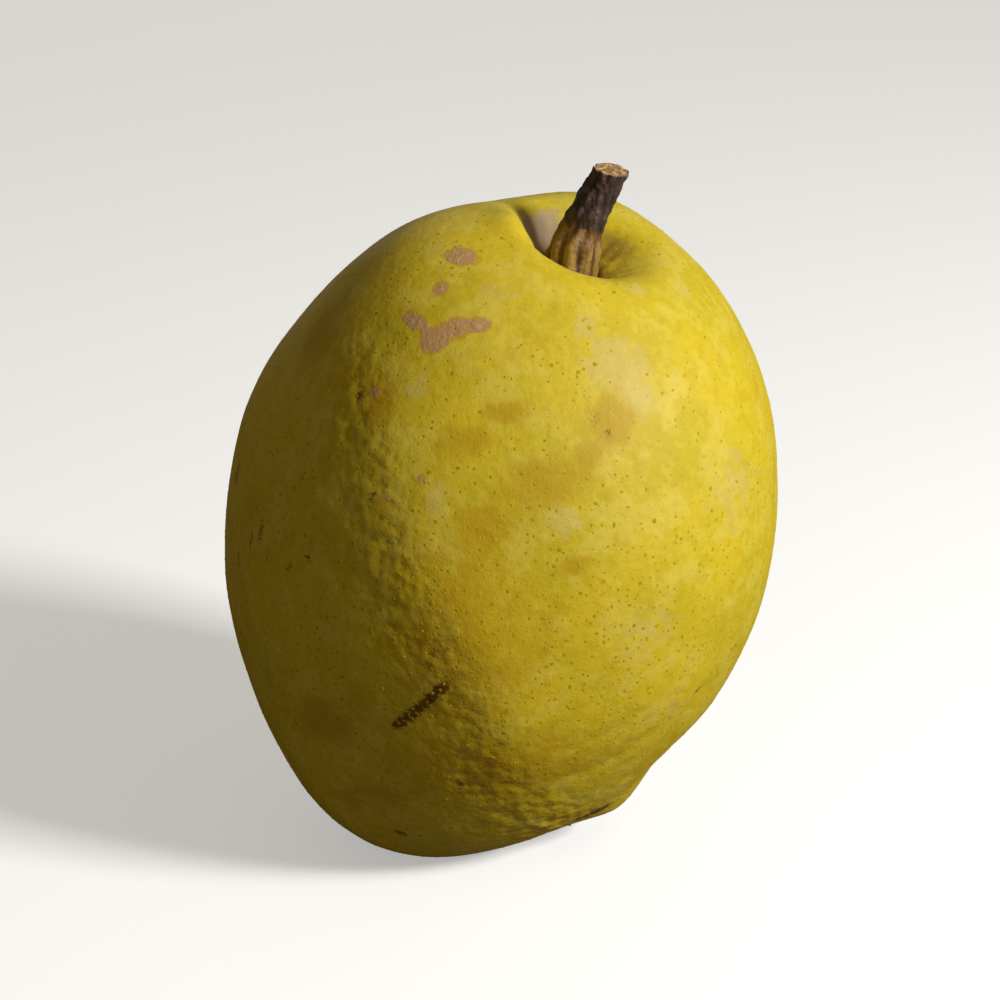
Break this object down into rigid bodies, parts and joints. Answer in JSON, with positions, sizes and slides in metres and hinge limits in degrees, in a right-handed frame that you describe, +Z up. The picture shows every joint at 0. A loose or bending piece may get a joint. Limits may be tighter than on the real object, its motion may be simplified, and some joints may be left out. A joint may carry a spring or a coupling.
{
  "type": "pear",
  "caption": "Squat, lopsided yellow dessert pear with a cut woody stem in its cavity and a dried calyx, resting on a small flat spot.",
  "frame": {"origin": "middle of the small flat spot on the lower skin that the pear rests on", "axes": "+Z up from the resting surface, through the fruit towards its stem end; -Y the front; +X the side that the stem leans to"},
  "size_m": [0.0799, 0.079, 0.1009],
  "materials": {
    "skin": "satin waxy fruit skin, yellow with ochre and russet",
    "stem_bark": "dry bark, near black above and olive brown at the foot",
    "dried_flower": "dry and dull"
  },
  "bodies": {
    "root": {"fruit": "skin", "stem": "stem_bark", "sepal_1": "dried_flower", "sepal_2": "dried_flower", "sepal_3": "dried_flower", "sepal_4": "dried_flower", "sepal_5": "dried_flower", "stamen_1": "dried_flower", "stamen_2": "dried_flower", "stamen_3": "dried_flower", "stamen_4": "dried_flower", "stamen_5": "dried_flower", "stamen_6": "dried_flower", "stamen_7": "dried_flower", "stamen_8": "dried_flower"}
  },
  "joints": []
}
